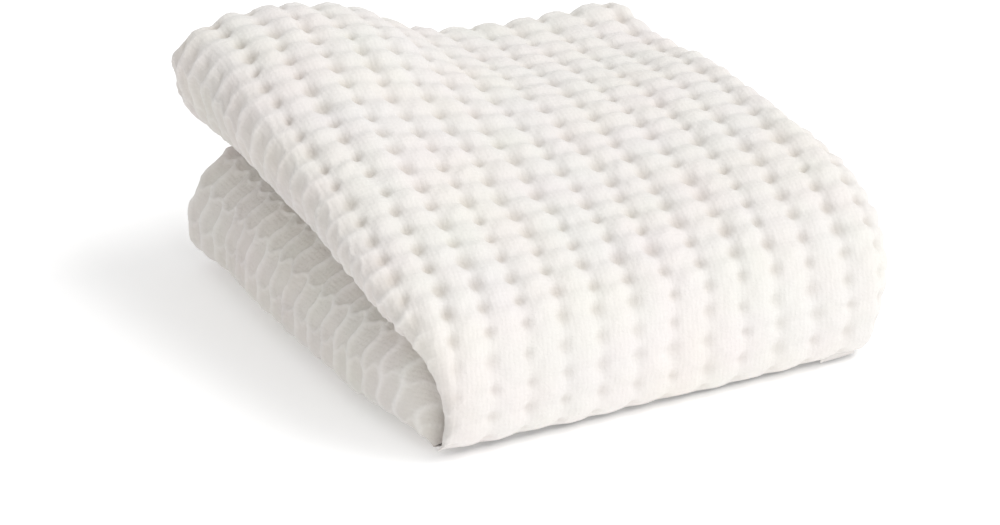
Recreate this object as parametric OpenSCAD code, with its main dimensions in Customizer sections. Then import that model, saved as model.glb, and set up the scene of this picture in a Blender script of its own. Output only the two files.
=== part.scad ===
// Folded throw blanket: a thick woven cloth folded to a pad, then folded once more at the front.
// Millimetres, +Z up, origin on the ground under the middle of the pad, front fold towards -Y.

/* [Pad] */
// Width of the folded pad, left roll to right edge
pad_w = 328; // [310:2:350]
// Depth of the folded pad, front fold to back edge
pad_d = 326; // [310:2:345]
// Height at the back left, where the stack is fullest
back_left_h = 172; // [168:1:180]
// Height at the back right
back_right_h = 124; // [120:1:130]
// Height of the bend at the top of the front fold
front_h = 74; // [73:1:77]

/* [Layers] */
// Height of the lower half at the front
lower_front_h = 57; // [54:1:58]
// Height of the lower half at the back
lower_back_h = 75; // [71:1:78]
// Thickness of the doubled cloth that wraps the lower half
lower_wrap_t = 13; // [11:1:15]
// Thickness of the doubled cloth that wraps the upper half
upper_wrap_t = 17; // [14:1:19]
// Free space between the upper and the lower half
halves_gap = 1.6; // [1.2:0.1:2.4]

/* [Front fold] */
// Radius of the bend at the foot of the front band
foot_r = 12; // [10:0.5:13]
// Radius of the bend at the top of the front band
brow_r = 20; // [19:0.5:21]
// Clearance round each bend
bend_gap = 0.6; // [0.4:0.1:1]

/* [Trim] */
// Width of the turned hem
hem_w = 15; // [13:1:18]
// Thickness of the turned hem
hem_t = 6; // [5:0.5:7]
// Length of one stitch
stitch_l = 4; // [3:0.5:5]
// Distance from one stitch to the next
stitch_pitch = 7; // [6:0.5:9]
// Radius of the sewing thread
thread_r = 0.5; // [0.4:0.1:0.7]
// Size of the blank care label
label_size = [1.2, 34, 16]; // [1:50]

/* [Hidden] */
$fn = 48;

cloth_colour = [0.93, 0.92, 0.90];
inner_colour = [0.88, 0.86, 0.84];
hem_colour = [0.90, 0.89, 0.86];
thread_colour = [0.97, 0.96, 0.94];
label_colour = [0.96, 0.96, 0.95];

left_x = -pad_w / 2;
hem_x = pad_w / 2 - hem_t - 2 * thread_r;      // the hems lie on this face
front_y = -pad_d / 2;
back_y = pad_d / 2;

// the two bends of the front band, seen from the side
foot = [front_y + foot_r + 0.5, foot_r + 0.5];
brow = [front_y + brow_r, front_h - brow_r];

arc_steps = 8;

// points of an arc that rounds corner b of the path a, b, c with radius r
function unit(v) = v / norm(v);
function rounded(a, b, c, r) =
    let (u = unit(a - b), w = unit(c - b), half = acos(u * w) / 2,
         reach = r / tan(half), mid = b + unit(u + w) * r / sin(half),
         s = b + u * reach - mid, e = b + w * reach - mid,
         turn = sign(s[0] * e[1] - s[1] * e[0]) * (180 - 2 * half))
    [for (i = [0 : arc_steps]) let (t = turn * i / arc_steps)
        mid + [s[0] * cos(t) - s[1] * sin(t), s[0] * sin(t) + s[1] * cos(t)]];
// outline with rounded corners from a list of [x, y, radius]
function outline(p) = let (n = len(p)) [for (i = [0 : n - 1]) each
    p[i][2] == 0 ? [[p[i][0], p[i][1]]]
    : rounded([p[(i + n - 1) % n][0], p[(i + n - 1) % n][1]], [p[i][0], p[i][1]],
        [p[(i + 1) % n][0], p[(i + 1) % n][1]], p[i][2])];

// a solid whose side view is the first outline and whose front view is the second
module two_views(side_view, front_view) {
    intersection() {
        translate([-pad_w, 0, 0]) rotate([90, 0, 90])
            linear_extrude(2 * pad_w) polygon(outline(side_view));
        translate([0, pad_d, 0]) rotate([90, 0, 0])
            linear_extrude(2 * pad_d) polygon(outline(front_view));
    }
}

// lower half: side and front views; the leaves inside it start t further in and run out by far
shoulder_y = front_y + 46;
module lower_block() {
    two_views(
        [[front_y + 29, 0, 3], [back_y - 3, 0, 6], [back_y - 3, lower_back_h, 14],
         [shoulder_y, lower_front_h, 20], [front_y + 39, lower_front_h - 20, 4]],
        [[left_x + 4, 0, 22], [hem_x, 0, 8], [hem_x, lower_back_h, 12], [left_x + 4, lower_back_h, 24]]);
}
module lower_inside(t, far) {
    two_views(
        [[shoulder_y, t, 0], [back_y + far, t, 0], [back_y + far, lower_back_h - t, 0],
         [shoulder_y, lower_front_h - t, 0]],
        [[left_x + 4 + t, t, 22 - t], [hem_x + far, t, 0], [hem_x + far, lower_back_h - t, 0],
         [left_x + 4 + t, lower_back_h - t, 24 - t]]);
}

// upper half: everything above the gap, with a full roll at the back left
function crease_z(y) = lower_front_h + halves_gap
    + (lower_back_h - lower_front_h) * (y - shoulder_y) / (back_y - 3 - shoulder_y);
module upper_block() {
    two_views(
        [[shoulder_y - 5, crease_z(shoulder_y - 5), 0], [back_y, crease_z(back_y), 22],
         [back_y, back_left_h, 30], [back_y - 70, back_left_h - 10, 60],
         [front_y + 110, front_h + 46, 60], [shoulder_y, front_h + 21, 20],
         [brow[0], front_h, 2], [brow[0], brow[1], 0]],
        [[left_x, lower_front_h, 34], [hem_x, lower_front_h, 6], [hem_x, back_right_h, 14],
         [40, back_right_h + 2, 60], [left_x + 60, back_left_h, 20], [left_x, back_left_h - 10, 44]]);
}
module upper_inside(t, far) {
    start_y = front_y + 68;
    two_views(
        [[start_y, crease_z(start_y) + t, 0], [back_y + far, crease_z(back_y + far) + t, 0],
         [back_y + far, back_left_h - t, 0], [back_y - 70, back_left_h - 10 - t, 0],
         [front_y + 110, front_h + 46 - t, 0], [start_y, front_h + 28 - t, 0]],
        [[left_x + t, lower_front_h + t, 34 - t], [hem_x + far, lower_front_h + t, 0],
         [hem_x + far, back_right_h - t, 0], [40, back_right_h + 2 - t, 0],
         [left_x + 60, back_left_h - t, 0], [left_x + t, back_left_h - 10 - t, 44 - t]]);
}
wrap_out = 60;                  // how far a cut runs out of the open sides

module lower_cover() {
    color(cloth_colour) difference() {
        lower_block();
        lower_inside(lower_wrap_t, wrap_out);
    }
}

module lower_leaves() {
    color(inner_colour) intersection() {
        lower_inside(lower_wrap_t + 0.3, wrap_out);
        translate([left_x, front_y, 0]) cube([hem_x - 4 - left_x, pad_d - 6, back_left_h]);
    }
}

module bend(at, r, inset) {
    translate([left_x + inset, at[0], at[1]]) rotate([0, 90, 0]) cylinder(r = r, h = hem_x - left_x - inset);
}

// the front nose of the upper half turns in the top of the front band
module upper_cover() {
    color(cloth_colour) {
        difference() {
            upper_block();
            upper_inside(upper_wrap_t, wrap_out);
        }
        bend(brow, brow_r, 4);
    }
}

module upper_leaves() {
    color(inner_colour) intersection() {
        upper_inside(upper_wrap_t + 0.3, wrap_out);
        translate([left_x, brow[0], 0]) cube([hem_x - 5 - left_x, pad_d - brow_r - 3, back_left_h]);
    }
}

// band of cloth that stands in front of the lower half and joins the two halves
module front_band() {
    band_in = 10;
    band_back = front_y + 35;       // face towards the lower half
    band_top = brow[1] - brow_r;
    color(cloth_colour) union() {
        difference() {
            translate([left_x + band_in, 0, 0]) rotate([90, 0, 90]) linear_extrude(hem_x - left_x - band_in)
                polygon([[front_y + 0.5, foot[1]], [foot[0] + foot_r, foot[1]],
                    [band_back, band_top], [band_back, brow[1] - 8], [front_y + 0.5, brow[1] - 8]]);
            bend(brow, brow_r + bend_gap, 0);
        }
        bend(foot, foot_r, band_in);
    }
}

// moves its children into the frame of a hem that runs on the slope from start to end
module on_hem(start, end) {
    run = end - start;
    translate([hem_x, start[0], start[1]]) rotate([atan2(run[1], run[0]), 0, 0]) children();
}

// a hem is a flat bar along the right side
module hem_bar(start, end) {
    on_hem(start, end) cube([hem_t, norm(end - start), hem_w]);
}

module stitches(start, end) {
    count = floor(norm(end - start) / stitch_pitch) - 1;
    on_hem(start, end)
        for (i = [0 : count - 1])
            translate([hem_t + thread_r, stitch_pitch * (i + 1) - stitch_l / 2, hem_w - 4])
                rotate([-90, 0, 0]) cylinder(r = thread_r, h = stitch_l, $fn = 16);
}

upper_hem_start = [front_y + 70, front_h - 8];
upper_hem_end = [back_y - 8, back_right_h - 40];
lower_hem_start = [front_y + 52, 8];
lower_hem_end = [back_y - 10, 12];

module upper_side_hem() { color(hem_colour) hem_bar(upper_hem_start, upper_hem_end); }
module lower_side_hem() { color(hem_colour) hem_bar(lower_hem_start, lower_hem_end); }
module upper_hem_stitches() { color(thread_colour) stitches(upper_hem_start, upper_hem_end); }
module lower_hem_stitches() { color(thread_colour) stitches(lower_hem_start, lower_hem_end); }

// blank folded label, sewn to the edge of the lower hem near the back
module care_label() {
    color(label_colour) on_hem(lower_hem_start, lower_hem_end)
        translate([0, norm(lower_hem_end - lower_hem_start) - 50, hem_w]) cube(label_size);
}

lower_cover();
lower_leaves();
lower_side_hem();
lower_hem_stitches();
care_label();
front_band();
upper_cover();
upper_leaves();
upper_side_hem();
upper_hem_stitches();
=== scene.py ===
import math

import bmesh
import bpy
import numpy as np
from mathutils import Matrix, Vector


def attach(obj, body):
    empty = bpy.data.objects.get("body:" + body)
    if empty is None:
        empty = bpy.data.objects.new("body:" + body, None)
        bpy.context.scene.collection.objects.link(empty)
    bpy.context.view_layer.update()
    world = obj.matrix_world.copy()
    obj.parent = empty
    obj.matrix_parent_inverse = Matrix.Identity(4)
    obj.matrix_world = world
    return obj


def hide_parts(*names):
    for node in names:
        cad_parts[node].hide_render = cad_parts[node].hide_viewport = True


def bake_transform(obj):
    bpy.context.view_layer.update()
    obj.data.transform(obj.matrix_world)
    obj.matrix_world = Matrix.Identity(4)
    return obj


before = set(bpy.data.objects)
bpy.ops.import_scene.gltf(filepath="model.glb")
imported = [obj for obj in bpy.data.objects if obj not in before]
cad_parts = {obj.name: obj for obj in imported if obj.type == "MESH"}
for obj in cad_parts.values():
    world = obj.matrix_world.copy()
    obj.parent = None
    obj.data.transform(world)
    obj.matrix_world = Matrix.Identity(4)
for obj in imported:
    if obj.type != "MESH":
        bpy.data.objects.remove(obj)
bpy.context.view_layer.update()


def through(knots, values, t):
    # smooth curve through listed values
    k = np.asarray(knots, float)
    v = np.asarray(values, float)
    t = np.clip(t, k[0], k[-1])
    slope = np.empty_like(v)
    slope[1:-1] = (v[2:] - v[:-2]) / (k[2:] - k[:-2])
    slope[0] = (v[1] - v[0]) / (k[1] - k[0])
    slope[-1] = (v[-1] - v[-2]) / (k[-1] - k[-2])
    i = np.clip(np.searchsorted(k, t, side="right") - 1, 0, len(k) - 2)
    step = k[i + 1] - k[i]
    a = (t - k[i]) / step
    return ((2 * a**3 - 3 * a**2 + 1) * v[i] + (a**3 - 2 * a**2 + a) * step * slope[i]
            + (3 * a**2 - 2 * a**3) * v[i + 1] + (a**3 - a**2) * step * slope[i + 1])


def ease(low, high, t):
    s = np.clip((t - low) / (high - low), 0, 1)
    return s * s * (3 - 2 * s)


def hump(x, middle, wide):
    return np.exp(-((x - middle) / wide) ** 2)


def softNoise(a, b, seed):
    # smooth random values from -1 to 1 with one value at each whole number
    repeat = 64
    table = np.random.RandomState(seed).uniform(-1, 1, (repeat, repeat))
    i = np.floor(a).astype(int)
    j = np.floor(b).astype(int)
    s = a - i
    t = b - j
    s = s * s * (3 - 2 * s)
    t = t * t * (3 - 2 * t)
    low = table[i % repeat, j % repeat] * (1 - s) + table[(i + 1) % repeat, j % repeat] * s
    high = table[i % repeat, (j + 1) % repeat] * (1 - s) + table[(i + 1) % repeat, (j + 1) % repeat] * s
    return low * (1 - t) + high * t


# One path runs along the outside of the upper half, from its back edge over the top and down
# the front to the floor. Everything is in metres.
pad = {
    "at": [0.0, 0.12, 0.28, 0.44, 0.58, 0.68, 0.76, 0.84, 0.90, 0.95, 1.0],
    "outY": [0.160, 0.112, 0.047, -0.018, -0.074, -0.115, -0.144, -0.160, -0.1630, -0.1600, -0.150],
    "outLeft": [0.169, 0.1665, 0.151, 0.133, 0.113, 0.097, 0.078, 0.050, 0.027, 0.0110, 0.0045],
    "outMiddle": [0.123, 0.124, 0.122, 0.114, 0.103, 0.091, 0.075, 0.049, 0.026, 0.0095, 0.0025],
    "outRight": [0.118, 0.110, 0.116, 0.116, 0.107, 0.094, 0.076, 0.050, 0.027, 0.0100, 0.003],
    "inY": [0.160, 0.112, 0.047, -0.018, -0.070, -0.102, -0.121, -0.134, -0.142, -0.1455, -0.148],
    "inZ": [0.078, 0.078, 0.0765, 0.072, 0.067, 0.0625, 0.053, 0.035, 0.021, 0.010, 0.0035],
    "rollX": [-0.096, -0.098, -0.101, -0.105, -0.110, -0.115, -0.1195, -0.1235, -0.1265, -0.1275,
              -0.1275],
    "rollOut": [0.066, 0.064, 0.059, 0.053, 0.046, 0.038, 0.026, 0.015, 0.010, 0.011, 0.011],
    "rightX": [0.143, 0.146, 0.149, 0.152, 0.155, 0.156, 0.154, 0.149, 0.147, 0.145, 0.142],
    "rightOut": [0.014, 0.018, 0.019, 0.020, 0.020, 0.020, 0.019, 0.017, 0.014, 0.010, 0.007],
    "outlineX": (-0.118, 0.032, 0.146),   # where the left, middle and right outlines stand
    "swell": 0.011,                       # soft rise between the roll and the dip at the back
    "swellX": -0.050,
    "swellWide": 0.042,
    "swellEnd": 0.45,                     # share of the path where the rise has gone
}


def acrossWeights(x):
    # shares of the left, middle and right outlines at x
    a, b, c = pad["outlineX"]
    left = (x - b) * (x - c) / ((a - b) * (a - c))
    middle = (x - a) * (x - c) / ((b - a) * (b - c))
    right = (x - a) * (x - b) / ((c - a) * (c - b))
    return left, middle, right


def upperOut(x, q):
    left, middle, right = acrossWeights(x)
    y = through(pad["at"], pad["outY"], q)
    z = (left * through(pad["at"], pad["outLeft"], q) + middle * through(pad["at"], pad["outMiddle"], q)
         + right * through(pad["at"], pad["outRight"], q))
    return y, z + pad["swell"] * hump(x, pad["swellX"], pad["swellWide"]) * ease(pad["swellEnd"], 0.0, q)


def upperIn(x, q):
    return through(pad["at"], pad["inY"], q), through(pad["at"], pad["inZ"], q) + 0 * x


lower = {
    "at": [0.0, 0.15, 0.35, 0.55, 0.70, 0.80, 0.87, 0.94, 1.0],
    "y": [0.152, 0.105, 0.040, -0.025, -0.070, -0.100, -0.118, -0.133, -0.146],
    "top": [0.0755, 0.0755, 0.0735, 0.069, 0.0645, 0.060, 0.052, 0.034, 0.007],
    "underside": 0.0045,
    "rollX": [-0.122, -0.122, -0.122, -0.122, -0.122, -0.122, -0.122, -0.123, -0.126],
    "rollOut": [0.038, 0.038, 0.038, 0.036, 0.034, 0.030, 0.027, 0.022, 0.014],
    "rightX": [0.134, 0.135, 0.137, 0.139, 0.140, 0.141, 0.141, 0.141, 0.140],
    "rightOut": [0.019, 0.020, 0.020, 0.020, 0.019, 0.018, 0.016, 0.014, 0.010],
}


def lowerOut(x, q):
    return through(lower["at"], lower["y"], q), lower["underside"] + 0 * x


def lowerIn(x, q):
    return through(lower["at"], lower["y"], q), through(lower["at"], lower["top"], q) + 0 * x


bend = {
    "squash": 0.85,        # below 1 makes the left roll boxier
    "topHeavy": 0.28,      # how much farther the roll sticks out towards its outside face
    "leastOut": 0.004,
    "leastFold": 0.002,
    "leastLip": 0.0025,
    "flap": 0.036,         # rate at which the turned-in lip runs on into the pad
    "frontDropAt": (0.66, 0.88),
}


def section(u, q, inward, half):
    # A wrap round one half. u: 2 hem at the right, 1 right shoulder, 1..0 outside face,
    # 0..-1 roll at the left, -1..-2 inside face, -2..-3 closed fold at the right,
    # below -3 back in between the layers.
    shape = half["shape"]
    at = shape["at"]
    rollX = through(at, shape["rollX"], q)
    rollOut = np.maximum(through(at, shape["rollOut"], q) - inward, bend["leastOut"])
    rightX = through(at, shape["rightX"], q) + half["foldOut"]
    rightOut = np.maximum(through(at, shape["rightOut"], q) - inward, bend["leastOut"])
    x = np.select([u >= 2, u >= 1, u >= 0, u >= -1, u >= -2, u >= -3],
                  [rightX - (u - 2) * half["tuck"], rightX, rollX + (rightX - rollX) * u, rollX,
                   rollX + (rightX - rollX) * (-1 - u), rightX],
                  rightX + (u + 3) * half["tuck"])
    outY, outZ = half["outside"](x, q)
    inY, inZ = half["inside"](x, q)
    dy, dz = inY - outY, inZ - outZ
    thick = np.hypot(dy, dz) + 1e-9
    dy, dz = dy / thick, dz / thick
    # distance from the outside face, along the line from outside to inside
    roll = np.clip(-u, 0, 1) * math.pi
    squash = bend["squash"]
    c, s = np.cos(roll), np.sin(roll)
    rollN = thick / 2 - (thick / 2 - inward) * np.sign(c) * np.abs(c) ** squash
    foldR = np.maximum(half["foldShare"] * (thick / 2 - inward), bend["leastFold"])
    if half["closed"]:
        drop = np.clip(u - 1, 0, 1) * math.pi
        rightN = inward + foldR * (1 - np.cos(drop))
        rightOut = foldR
    else:
        drop = np.clip(u - 1, 0, 1) * math.pi / 2
        hemDrop = half["hemDrop"] + half["frontDrop"] * ease(*bend["frontDropAt"], q)
        rightN = inward + hemDrop * thick * (1 - np.cos(drop))
    fold = np.clip(-2 - u, 0, 1) * math.pi
    foldN = thick - inward - foldR * (1 - np.cos(fold))
    n = np.select([u >= 1, u >= 0, u >= -1], [rightN, inward + 0 * u, rollN], foldN)
    rollSide = -rollOut * np.abs(s) ** squash * (1 + bend["topHeavy"] * c)
    x = x + np.select([u >= 1, u >= 0, u >= -1, u >= -2],
                      [rightOut * np.sin(drop), 0 * u, rollSide, 0 * u],
                      foldR * np.sin(fold))
    return np.stack([x, outY + dy * n, outZ + dz * n], -1), thick


def wrap(u, q, half, inward=0.0, back=0.0):
    # q below 0 turns round the back edge into the pad: a lip as thick as the doubled cloth
    thick = section(u, np.maximum(q, 0), inward, half)[1]
    lip = np.clip((thick / 2 - inward) / 2, bend["leastLip"], half["lip"])
    turn = np.clip(-q, 0, 1) * math.pi
    points = section(u, np.maximum(q, 0), inward + lip * (1 - np.cos(turn)), half)[0]
    points[..., 1] += lip * np.sin(turn) - np.clip(-q - 1, 0, 9) * bend["flap"] - back
    return points


upper = {"shape": pad, "outside": upperOut, "inside": upperIn, "foldOut": 0.0, "tuck": 0.04,
         "closed": False, "hemDrop": 0.50, "frontDrop": 0.42, "foldShare": 0.42, "lip": 0.0075}
under = {"shape": lower, "outside": lowerOut, "inside": lowerIn, "foldOut": 0.0, "tuck": 0.04,
         "closed": False, "hemDrop": 0.17, "frontDrop": 0.5, "foldShare": 0.42, "lip": 0.0065}

weave = {
    "column": 0.0240,       # distance between pits across the pad
    "row": 0.0168,          # distance between pits from back to front
    "depth": 0.0052,        # height from pit to puff
    "pitAcross": 0.32,      # half a pit's width in cells
    "pitAlong": 0.46,
    "pitShape": 1.6,        # 2 is round, 1 is a diamond
    "pitDepth": 0.85,
    "pitUneven": 0.22,
    "puff": 0.42,
    "puffUneven": 0.35,
    "groove": 0.16,         # dip between two puffs side by side
    "leanAcross": 0.11,     # wander of the cell walls on a bend
    "leanAlong": 0.10,
    "wallAcross": 0.115,    # half a wall's thickness in cells, for the walls across and along
    "wallAlong": 0.075,
    "wallAlongHeight": 0.62,
    "wallHeight": 0.78,
    "cellFloor": 0.50,
    "level": 0.2,           # relief that counts as the plain cloth's height
    "openFlatter": 0.42,    # share of the relief that opened cells lose
    "openFloorShade": 0.70,       # painted shade: how far the floors of opened cells take the pits' darker colour
}


def waffle(a, b, openness):
    # Height over the plain cloth in parts of the depth, and a 0 to 1 share of the darker colour, partly
    # the weave's own and partly painted shade. Pits are centred on whole numbers, and a puff stands where
    # four cells meet.
    a = a + 0.08 * softNoise(a * 0.9 + 7, b * 0.9, 3) + 0.06 * softNoise(a * 0.31, b * 0.37, 4)
    b = b + 0.09 * softNoise(a * 0.9, b * 0.9 + 5, 5) + 0.06 * softNoise(a * 0.33, b * 0.29, 6)
    # on a bend the cells lean and their walls turn wavy
    wave = 2 * math.pi
    leanA = openness * weave["leanAcross"] * np.sin(wave * b + 2 * softNoise(a * 0.6, b * 0.6, 7))
    leanB = openness * weave["leanAlong"] * np.sin(wave * a)
    a = a + leanA
    b = b + leanB
    da = np.abs(a - np.round(a))
    db = np.abs(b - np.round(b))
    puffA = 0.5 - 0.5 * np.cos(wave * a)
    puffB = 0.5 - 0.5 * np.cos(wave * b)
    size = 1 + weave["pitUneven"] * softNoise(np.round(a) * 1.0, np.round(b) * 1.0, 8)
    power = weave["pitShape"]
    d = ((da / (weave["pitAcross"] * size)) ** power
         + (db / (weave["pitAlong"] * size)) ** power) ** (1 / power)
    pit = 1 - ease(0.0, 1.0, d)
    puff = (puffA * puffB) ** 0.7 * (1 + weave["puffUneven"] * softNoise(a + 0.5, b + 0.5, 9))
    fuzz = 0.07 * softNoise(a * 7, b * 5, 13) + 0.06 * softNoise(a * 3.1, b * 2.7, 14)
    closed = weave["puff"] * puff - weave["groove"] * (1 - puffA) * puffB - weave["pitDepth"] * pit
    # opened cells: flat floors between thin walls, the ones round the bend the higher ones
    thin = 1 + 0.3 * softNoise(a * 0.7, b * 0.7, 15)
    wallB = np.exp(-((0.5 - db) / (weave["wallAcross"] * thin)) ** 2)
    wallA = np.exp(-((0.5 - da) / (weave["wallAlong"] * thin)) ** 2) * weave["wallAlongHeight"]
    walls = 1 - (1 - wallA) * (1 - wallB)
    opened = weave["wallHeight"] * walls - weave["cellFloor"] - 0.10 * (1 - ease(0.1, 0.5, db))
    height = closed + (opened - closed) * openness + fuzz
    # the darker colour: in the pits, partly the weave's own darker inside and partly painted shade; on the
    # floors of opened cells round the roll, painted shade
    shade = pit ** 1.5 * (1 - openness) + weave["openFloorShade"] * (1 - walls) * openness
    return height, shade


def arcLength(points, axis):
    step = np.linalg.norm(np.diff(points, axis=axis), axis=-1)
    before = [(0, 0), (0, 0)]
    before[axis] = (1, 0)
    return np.cumsum(np.pad(step, before), axis=axis)


def knotLine(spans):
    # parameter values from a list of (start, end, segments)
    out = [spans[0][0]]
    for start, end, count in spans:
        out += [start + (end - start) * (i + 1) / count for i in range(count)]
    return np.array(out)


def gridNormals(points):
    alongU = np.gradient(points, axis=1)
    alongQ = np.gradient(points, axis=0)
    n = np.cross(alongU, alongQ)
    return n / (np.linalg.norm(n, axis=-1, keepdims=True) + 1e-12)


def clothPiece(name, points, material, cells=None, pitTintAndShade=None):
    # a sheet from an array of points [row, column, xyz]
    rows, columns = points.shape[:2]
    bm = bmesh.new()
    bmesh.ops.create_grid(bm, x_segments=columns - 1, y_segments=rows - 1, size=0.5)
    mesh = bpy.data.meshes.new(name)
    bm.to_mesh(mesh)
    bm.free()
    flat = np.empty(len(mesh.vertices) * 3)
    mesh.vertices.foreach_get("co", flat)
    flat = flat.reshape(-1, 3)
    column = np.rint((flat[:, 0] + 0.5) * (columns - 1)).astype(int)
    row = np.rint((flat[:, 1] + 0.5) * (rows - 1)).astype(int)
    mesh.vertices.foreach_set("co", points[row, column].ravel())
    if cells is not None:
        corner = np.empty(len(mesh.loops), dtype=np.int32)
        mesh.loops.foreach_get("vertex_index", corner)
        uv = np.stack([cells[0][row, column], cells[1][row, column]], -1)
        layer = mesh.uv_layers.new(name="cells")
        layer.data.foreach_set("uv", uv[corner].ravel())
    # the darker colour share, partly the weave's own and partly painted shade, is stored as the 'pit'
    # attribute
    if pitTintAndShade is not None:
        attribute = mesh.attributes.new("pit", "FLOAT", "POINT")
        attribute.data.foreach_set("value", pitTintAndShade[row, column].astype(np.float32))
    mesh.shade_smooth()
    mesh.materials.append(material)
    mesh.update()
    piece = bpy.data.objects.new(name, mesh)
    bpy.context.scene.collection.objects.link(piece)
    return piece


def newMaterial(name):
    material = bpy.data.materials.new(name)
    material.use_nodes = True
    return material, material.node_tree, material.node_tree.nodes["Principled BSDF"]


yarn = {
    "fibreScale": 620,
    "fibreDetail": 5,
    "fibreHeight": 6,       # height of the loose fibres against the threads
    "cloudScale": 22,       # soft drift of the colour over the cloth
    "cloudDetail": 2,
    "cloudShare": 0.06,
    "threadWobble": 1.2,
    "bumpDepth": 0.0005,
    "sheenRoughness": 0.5,
    "specular": 0.25,
}


def noiseNode(nodes, links, coords, scale, detail):
    noise = nodes.new("ShaderNodeTexNoise")
    noise.inputs["Scale"].default_value = scale
    noise.inputs["Detail"].default_value = detail
    links.new(coords.outputs["Object"], noise.inputs["Vector"])
    return noise


def threadNode(nodes, links, threads, direction, scale):
    bands = nodes.new("ShaderNodeTexWave")
    bands.bands_direction = direction
    bands.inputs["Scale"].default_value = scale
    bands.inputs["Distortion"].default_value = yarn["threadWobble"]
    bands.inputs["Detail"].default_value = 1
    links.new(threads.outputs["UV"], bands.inputs["Vector"])
    return bands


def cottonMaterial(name, look):
    material, tree, shader = newMaterial(name)
    nodes, links = tree.nodes, tree.links
    shader.inputs["Roughness"].default_value = look["roughness"]
    shader.inputs["Sheen Weight"].default_value = look["sheen"]
    shader.inputs["Sheen Roughness"].default_value = yarn["sheenRoughness"]
    shader.inputs["Specular IOR Level"].default_value = yarn["specular"]
    # the 'pit' attribute mixes in the pits' darker colour: partly the weave's own darker inside, partly
    # painted shade
    pit = nodes.new("ShaderNodeAttribute")
    pit.attribute_name = "pit"
    coords = nodes.new("ShaderNodeTexCoord")
    fibre = noiseNode(nodes, links, coords, yarn["fibreScale"], yarn["fibreDetail"])
    cloud = noiseNode(nodes, links, coords, yarn["cloudScale"], yarn["cloudDetail"])
    tone = nodes.new("ShaderNodeMix")
    tone.data_type = "RGBA"
    tone.inputs["A"].default_value = (*look["colour"], 1)
    tone.inputs["B"].default_value = (*look["darkTintAndShadeColour"], 1)
    links.new(pit.outputs["Fac"], tone.inputs["Factor"])
    drift = nodes.new("ShaderNodeMix")
    drift.data_type = "RGBA"
    drift.blend_type = "MULTIPLY"
    drift.inputs["Factor"].default_value = yarn["cloudShare"]
    links.new(tone.outputs["Result"], drift.inputs["A"])
    links.new(cloud.outputs["Color"], drift.inputs["B"])
    links.new(drift.outputs["Result"], shader.inputs["Base Color"])
    threads = nodes.new("ShaderNodeUVMap")
    threads.uv_map = "cells"
    across = threadNode(nodes, links, threads, "X", look["threadsX"])
    along = threadNode(nodes, links, threads, "Y", look["threadsY"])
    grain = nodes.new("ShaderNodeMath")
    grain.operation = "ADD"
    links.new(across.outputs["Fac"], grain.inputs[0])
    links.new(along.outputs["Fac"], grain.inputs[1])
    fuzz = nodes.new("ShaderNodeMath")
    fuzz.operation = "MULTIPLY_ADD"
    fuzz.inputs[1].default_value = yarn["fibreHeight"]
    links.new(fibre.outputs["Fac"], fuzz.inputs[0])
    links.new(grain.outputs["Value"], fuzz.inputs[2])
    bump = nodes.new("ShaderNodeBump")
    bump.inputs["Strength"].default_value = look["bump"]
    bump.inputs["Distance"].default_value = yarn["bumpDepth"]
    links.new(fuzz.outputs["Value"], bump.inputs["Height"])
    links.new(bump.outputs["Normal"], shader.inputs["Normal"])
    return material


# the second colour is the darker colour of the pits and opened cells: partly the weave's own, partly painted
# shade
clothLook = {"colour": (0.815, 0.785, 0.754), "darkTintAndShadeColour": (0.67, 0.63, 0.585), "roughness": 0.95,
             "sheen": 0.25, "bump": 0.24, "threadsX": 2.4, "threadsY": 1.7}
# the leaves between the layers: the same cotton a little darker, painted shade
shadedInsideLook = {**clothLook, "colour": (0.80, 0.77, 0.74)}
hemLook = {**clothLook, "darkTintAndShadeColour": clothLook["colour"], "bump": 0.25, "threadsX": 6, "threadsY": 6}
threadLook = {**clothLook, "colour": (0.9, 0.88, 0.86), "darkTintAndShadeColour": (0.9, 0.88, 0.86), "bump": 0.1}
labelLook = {**clothLook, "colour": (0.88, 0.88, 0.87), "darkTintAndShadeColour": (0.88, 0.88, 0.87), "bump": 0.08,
             "threadsX": 9, "threadsY": 9, "roughness": 0.6}
clothMaterial = cottonMaterial("waffleCotton", clothLook)
shadedInsideMaterial = cottonMaterial("waffleCottonShadedInside", shadedInsideLook)
hemMaterial = cottonMaterial("plainHemCotton", hemLook)
threadMaterial = cottonMaterial("sewingThread", threadLook)
labelMaterial = cottonMaterial("labelRibbon", labelLook)
print("materials made")

drape = {
    "lump": 0.0016,             # soft unevenness of the whole stack
    "smallLump": 0.0008,
    "openFrom": (-0.10, -0.42), # cells open up between these places round the roll
    "openUntil": (-1.02, -0.84),
    "floorFade": (-0.001, 0.010),
    "cornerFade": 0.65,         # relief lost where the roll runs into the front fold
    "cornerAt": (0.72, 0.82),
    "pulledAt": (0.70, 0.84),   # the cells are pulled flatter down the front
    "pulledFlatter": 0.42,
    # painted pit shade made weaker down the brightly lit front
    "frontLessShade": 0.55,
    "shoulderAt": -0.12,        # deeper pits where the cloth starts to bend
    "shoulderWide": 0.15,
    "shoulderDeeper": 0.15,
    # painted shade: the deeper pits at the shoulder take more of the darker colour
    "shoulderMoreShade": 0.6,
    "least": 0.0008,            # lowest point over the floor
}


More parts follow.
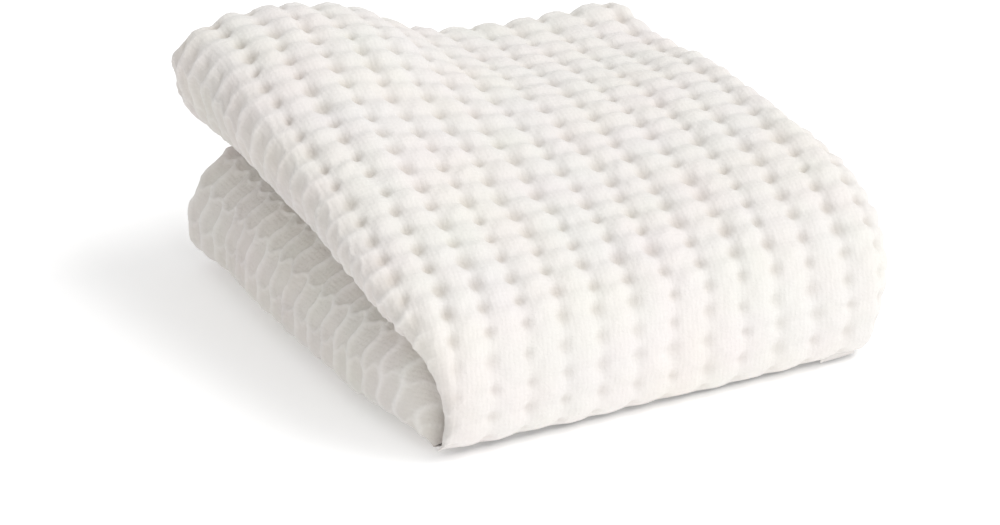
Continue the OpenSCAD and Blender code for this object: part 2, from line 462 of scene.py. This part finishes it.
def coverPoints(uLine, qLine, half, inward=0.0, back=0.0, shift=(0.0, 0.0)):
    u, q = np.meshgrid(uLine, qLine)
    points = wrap(u, q, half, inward, back)
    lengthU = arcLength(points, 1)
    middle = np.argmin(np.abs(uLine - 0.5))
    a = -(lengthU - lengthU[:, middle:middle + 1]) / weave["column"]
    spine = arcLength(points[:, middle:middle + 1], 0)
    zero = np.argmin(np.abs(qLine))
    b = (spine - spine[zero]) / weave["row"] + 0 * u
    a = a + shift[0]
    b = b + shift[1]
    normal = gridNormals(points)
    outwards = 1 if half is upper else -1
    if normal[np.argmin(np.abs(qLine - 0.3)), middle, 2] * outwards < 0:
        normal = -normal
    lumps = (drape["lump"] * softNoise(a * 0.35, b * 0.3, 11)
             + drape["smallLump"] * softNoise(a * 0.8, b * 0.7, 12))
    openness = np.clip(ease(*drape["openFrom"], u) * ease(*drape["openUntil"], u), 0, 1)
    # pit: the share of the darker colour, partly the weave's own and partly painted shade
    height, pit = waffle(a, b, openness)
    relief = weave["depth"] * (1 - weave["openFlatter"] * openness) * (height - weave["level"])
    relief = relief * ease(*drape["floorFade"], points[..., 2])
    relief = relief * (1 - drape["cornerFade"] * ease(*drape["cornerAt"], q) * ease(0.02, -0.3, u))
    if half is upper:
        pulled = ease(*drape["pulledAt"], q)
        shoulder = hump(u, drape["shoulderAt"], drape["shoulderWide"]) * (1 - pulled)
        relief = relief * (1 - drape["pulledFlatter"] * pulled) * (1 + drape["shoulderDeeper"] * shoulder)
        # painted pit shade: weaker down the lit front, stronger at the shoulder
        pit = pit * (1 - drape["frontLessShade"] * pulled) * (1 + drape["shoulderMoreShade"] * shoulder)
    points = points + normal * (lumps + relief)[..., None]
    points[..., 2] = np.maximum(points[..., 2], drape["least"])
    return points, (a, b), pit


def rowSpans(last, count, lipRows=14, flapRows=6):
    # rows of a sheet: the turned-in flap, the lip at the back, the face
    return [(-1.8, -1.0, flapRows), (-1.0, 0.0, lipRows), (0.0, last, count)]


cover = {
    "seam": 0.86,          # share of the path where the cloth of the front band starts
    "across": [(2.0, 1.0, 26), (1.0, 0.0, 178), (0.0, -1.0, 96), (-1.0, -2.0, 84), (-2.0, -3.0, 14),
               (-3.0, -3.6, 4)],
    "rows": 200,
    "bandRows": 64,
    "lowerShift": (0.3, 0.4),
}
coverLine = knotLine(cover["across"])

points, cells, pitTintAndShade = coverPoints(coverLine, knotLine(rowSpans(cover["seam"], cover["rows"])), upper)
upperCover = clothPiece("upperCloth", points, clothMaterial, cells, pitTintAndShade)
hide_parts("upper_cover")
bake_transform(upperCover)

# worked out with the rows above the seam, so that the two pieces meet without a step
wholeLine = knotLine([(0.0, cover["seam"], cover["rows"]), (cover["seam"], 1.0, cover["bandRows"])])
points, cells, pitTintAndShade = coverPoints(coverLine, wholeLine, upper)
bandStart = cover["rows"]
frontBand = clothPiece("frontCloth", points[bandStart:], clothMaterial, [c[bandStart:] for c in cells],
                       pitTintAndShade[bandStart:])
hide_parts("front_band")
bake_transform(frontBand)

points, cells, pitTintAndShade = coverPoints(coverLine, knotLine(rowSpans(1.0, cover["rows"])), under,
                                  shift=cover["lowerShift"])
lowerCover = clothPiece("lowerCloth", points, clothMaterial, cells, pitTintAndShade)
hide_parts("lower_cover")
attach(lowerCover, "lower_half")
print("covers made")

leaf = {
    "across": [(2.6, 2.0, 4), (2.0, 1.0, 16), (1.0, 0.0, 90), (0.0, -1.0, 30), (-1.0, -2.0, 60),
               (-2.0, -3.0, 12), (-3.0, -3.6, 4)],
    "back": 0.004,         # how far the leaves lie in from the back of the covers
    "upperInward": 0.0165,
    "lowerInward": 0.0145,
    "upperShift": (0.2, 0.1),
    "lowerShift": (0.6, 0.3),
}
leafLine = knotLine(leaf["across"])
upperLeafFold = {**upper, "foldOut": -0.002, "closed": True, "foldShare": 0.5, "lip": 0.0090}
lowerLeafFold = {**under, "foldOut": 0.002, "closed": True, "foldShare": 0.5, "lip": 0.0095}

points, cells, pitTintAndShade = coverPoints(leafLine, knotLine(rowSpans(0.6, 90, 12, 4)), upperLeafFold,
                                  leaf["upperInward"], leaf["back"], leaf["upperShift"])
upperLeaf = clothPiece("upperLeaf", points, shadedInsideMaterial, cells, pitTintAndShade)
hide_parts("upper_leaves")
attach(upperLeaf, "upper_half")

points, cells, pitTintAndShade = coverPoints(leafLine, knotLine(rowSpans(0.88, 118, 12, 4)), lowerLeafFold,
                                  leaf["lowerInward"], leaf["back"], leaf["lowerShift"])
lowerLeaf = clothPiece("lowerLeaf", points, shadedInsideMaterial, cells, pitTintAndShade)
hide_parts("lower_leaves")
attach(lowerLeaf, "lower_half")
print("leaves made")

hem = {
    "width": 0.015,
    "thick": 0.0045,
    "overlap": 0.003,      # how far it reaches over the edge of the cloth
    "rows": 240,
    "around": 36,
    "corner": 0.6,         # below 1 makes the tube's section boxier
    "seamIn": 0.004,       # distance of the stitches from the hem's upper edge
    "seamPull": 0.0006,
    "sway": 0.0008,
    "ripple": 0.0004,
    "taper": 0.012,
    "upper": (0.004, 0.62),
    "lower": (0.004, 0.74),
}
stitch = {"pitch": 0.007, "long": 0.0044, "radius": 0.00055, "dip": 0.0009, "first": 0.010, "last": 0.012}


def edgeFrame(half, q):
    # point, direction along the edge, direction in which the cloth ends, and outward normal
    step = 1e-3
    at = wrap(np.full_like(q, 2.0), q, half)
    along = wrap(np.full_like(q, 2.0), q + step, half) - wrap(np.full_like(q, 2.0), q - step, half)
    down = at - wrap(np.full_like(q, 1.9), q, half)
    along = along / np.linalg.norm(along, axis=-1, keepdims=True)
    down = down - along * np.sum(down * along, -1, keepdims=True)
    down = down / np.linalg.norm(down, axis=-1, keepdims=True)
    out = np.cross(along, down)
    out = out * np.sign(out[:, :1])
    return at, along, down, out


def hemPoints(half, first, last, seed):
    q = np.linspace(first, last, hem["rows"])
    at, along, down, out = edgeFrame(half, q)
    t = np.linspace(0, 2 * math.pi, hem["around"] + 1)
    # a flat tube with round long edges, a little pulled in along the stitches
    wide = np.sign(np.cos(t)) * np.abs(np.cos(t)) ** hem["corner"] * hem["width"] / 2
    deep = np.sign(np.sin(t)) * np.abs(np.sin(t)) ** hem["corner"] * hem["thick"] / 2
    pull = np.exp(-((wide + hem["width"] / 2 - hem["seamIn"]) / 0.0012) ** 2) * hem["seamPull"]
    deep = deep - np.sign(deep) * pull
    ends = ease(0, hem["taper"], (q - first)) * ease(0, hem["taper"], (last - q))
    ends = 0.15 + 0.85 * ends
    lengths = arcLength(at[:, None], 0)[:, 0]
    sway = hem["sway"] * softNoise(lengths * 30, lengths * 0, seed)
    ripple = hem["ripple"] * softNoise(lengths[:, None] * 160 + 0 * t, t[None] * 2.5 + 0 * lengths[:, None],
                                       seed + 1)
    centre = at + down * (hem["width"] / 2 - hem["overlap"]) + out * sway[:, None]
    return (centre[:, None] + down[:, None] * (wide * ends[:, None])[..., None]
            + out[:, None] * (deep * ends[:, None] + ripple)[..., None]), lengths


def makeHem(name, node, half, first, last, seed, body):
    points, lengths = hemPoints(half, first, last, seed)
    across = np.linspace(0, 2, hem["around"] + 1)[None] + 0 * lengths[:, None]
    cells = (across, lengths[:, None] / 0.02 + 0 * across)
    piece = clothPiece(name, points[:, ::-1], hemMaterial, [c[:, ::-1] for c in cells])
    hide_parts(node)
    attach(piece, body)
    return piece


def makeStitches(name, node, half, first, last, seed, body):
    # short thread dashes that dip into the hem at both ends
    q = np.linspace(first, last, hem["rows"])
    at, along, down, out = edgeFrame(half, q)
    lengths = arcLength(at[:, None], 0)[:, 0]
    sway = hem["sway"] * softNoise(lengths * 30, lengths * 0, seed)
    line = (at + down * (hem["seamIn"] - hem["overlap"])
            + out * (hem["thick"] / 2 + 0.0001 + sway)[:, None])
    bm = bmesh.new()
    for start in np.arange(stitch["first"], lengths[-1] - stitch["last"], stitch["pitch"]):
        ring = bmesh.ops.create_uvsphere(bm, u_segments=8, v_segments=10, radius=1)["verts"]
        for vertex in ring:
            place = start + stitch["long"] / 2 + vertex.co.z * stitch["long"] / 2
            centre = np.array([np.interp(place, lengths, line[:, k]) for k in range(3)])
            side = np.array([np.interp(place, lengths, down[:, k]) for k in range(3)])
            up = np.array([np.interp(place, lengths, out[:, k]) for k in range(3)])
            slim = (1 - vertex.co.z ** 2) ** 0.5
            girth = stitch["radius"] * (0 if slim < 1e-3 else slim ** -0.5)
            dip = -stitch["dip"] * vertex.co.z ** 6
            vertex.co = Vector(centre + side * vertex.co.x * girth + up * (vertex.co.y * girth + dip))
    bmesh.ops.recalc_face_normals(bm, faces=bm.faces)
    mesh = bpy.data.meshes.new(name)
    bm.to_mesh(mesh)
    bm.free()
    mesh.shade_smooth()
    mesh.materials.append(threadMaterial)
    piece = bpy.data.objects.new(name, mesh)
    bpy.context.scene.collection.objects.link(piece)
    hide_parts(node)
    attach(piece, body)
    return piece


upperHem = makeHem("upperHem", "upper_side_hem", upper, *hem["upper"], 21, "upper_half")
upperStitches = makeStitches("upperHemStitches", "upper_hem_stitches", upper, *hem["upper"], 21, "upper_half")
lowerHem = makeHem("lowerHem", "lower_side_hem", under, *hem["lower"], 31, "lower_half")
lowerStitches = makeStitches("lowerHemStitches", "lower_hem_stitches", under, *hem["lower"], 31, "lower_half")

# blank ribbon that stands out of the lower hem
label = {
    "long": 0.034,
    "high": 0.016,
    "from": 0.05,          # distance from the back end of the hem
    "root": 0.002,         # hidden part in the hem
    "thick": 0.0009,
    "lean": 0.0035,
    "curl": 0.0007,
    "columns": 40,
    "rows": 24,
}
q = np.linspace(*hem["lower"], hem["rows"])
at, along, down, out = edgeFrame(under, q)
lengths = arcLength(at[:, None], 0)[:, 0]
place = label["from"] + np.linspace(0, label["long"], label["columns"])
rise = np.linspace(-label["root"], label["high"], label["rows"])
base = np.stack([np.interp(place, lengths, at[:, k]) for k in range(3)], -1)
side = np.stack([np.interp(place, lengths, down[:, k]) for k in range(3)], -1)
face = np.stack([np.interp(place, lengths, out[:, k]) for k in range(3)], -1)
lean = label["lean"] * np.sin(np.clip(rise, 0, 1) / label["high"] * 2.2) + 0.0004
curl = label["curl"] * np.sin(np.linspace(0, 5, label["columns"]))[:, None] * (rise / label["high"])[None]
points = (base[:, None] + side[:, None] * (hem["width"] - hem["overlap"] + rise)[None, :, None]
          + face[:, None] * (lean[None] + curl)[..., None])
across = np.linspace(0, 4, label["columns"])[:, None] + 0 * rise[None]
careLabel = clothPiece("careLabel", points, labelMaterial, (across, rise[None] * 120 + 0 * across))
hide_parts("care_label")
thicken = careLabel.modifiers.new("thicken", "SOLIDIFY")
thicken.thickness = label["thick"]
thicken.offset = 0
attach(careLabel, "lower_half")
print("hems made")

view = {"azimuth": -28.0, "elevation": 25.5, "distance": 3.0, "target": (-0.004, -0.008, 0.046),
        "pixelsPerMetre": 1630, "imageWidth": 1000, "sensor": 36, "shiftX": -0.029, "shiftY": -0.0155}
camera = bpy.data.cameras.new("camera")
cameraObject = bpy.data.objects.new("camera", camera)
bpy.context.scene.collection.objects.link(cameraObject)
bpy.context.scene.camera = cameraObject
turn = math.radians(-view["azimuth"])
lift = math.radians(view["elevation"])
direction = Vector((-math.sin(turn) * math.cos(lift), -math.cos(turn) * math.cos(lift), math.sin(lift)))
cameraObject.location = Vector(view["target"]) + direction * view["distance"]
cameraObject.rotation_euler = (-direction).to_track_quat("-Z", "Y").to_euler()
camera.sensor_width = view["sensor"]
camera.lens = view["sensor"] * view["pixelsPerMetre"] * view["distance"] / view["imageWidth"]
camera.shift_x = view["shiftX"]
camera.shift_y = view["shiftY"]

studio = {"floorHalf": 6, "floorRoughness": 0.9, "floorGlow": 0.15, "sky": 0.68, "aim": (0, 0, 0.06)}
white = (1.0, 1.0, 1.0, 1)
bm = bmesh.new()
bmesh.ops.create_grid(bm, x_segments=1, y_segments=1, size=studio["floorHalf"])
floorMesh = bpy.data.meshes.new("floor")
bm.to_mesh(floorMesh)
bm.free()
floor = bpy.data.objects.new("floor", floorMesh)
bpy.context.scene.collection.objects.link(floor)
floorMaterial, tree, shader = newMaterial("paleFloor")
shader.inputs["Base Color"].default_value = white
shader.inputs["Roughness"].default_value = studio["floorRoughness"]
shader.inputs["Emission Color"].default_value = white
shader.inputs["Emission Strength"].default_value = studio["floorGlow"]
floorMesh.materials.append(floorMaterial)

world = bpy.data.worlds.new("studio")
world.use_nodes = True
world.node_tree.nodes["Background"].inputs["Color"].default_value = white
world.node_tree.nodes["Background"].inputs["Strength"].default_value = studio["sky"]
bpy.context.scene.world = world


def areaLight(name, location, size, power):
    light = bpy.data.lights.new(name, "AREA")
    light.size = size
    light.energy = power
    holder = bpy.data.objects.new(name, light)
    bpy.context.scene.collection.objects.link(holder)
    holder.location = location
    holder.rotation_euler = (Vector(studio["aim"]) - Vector(location)).to_track_quat("-Z", "Y").to_euler()


areaLight("key", (3.0, -1.5, 4.98), size=3.0, power=138)
areaLight("front", (1.0, -5.3, 2.7), size=4.5, power=78)
bpy.context.scene.view_settings.view_transform = "Standard"
print("camera and lights set")
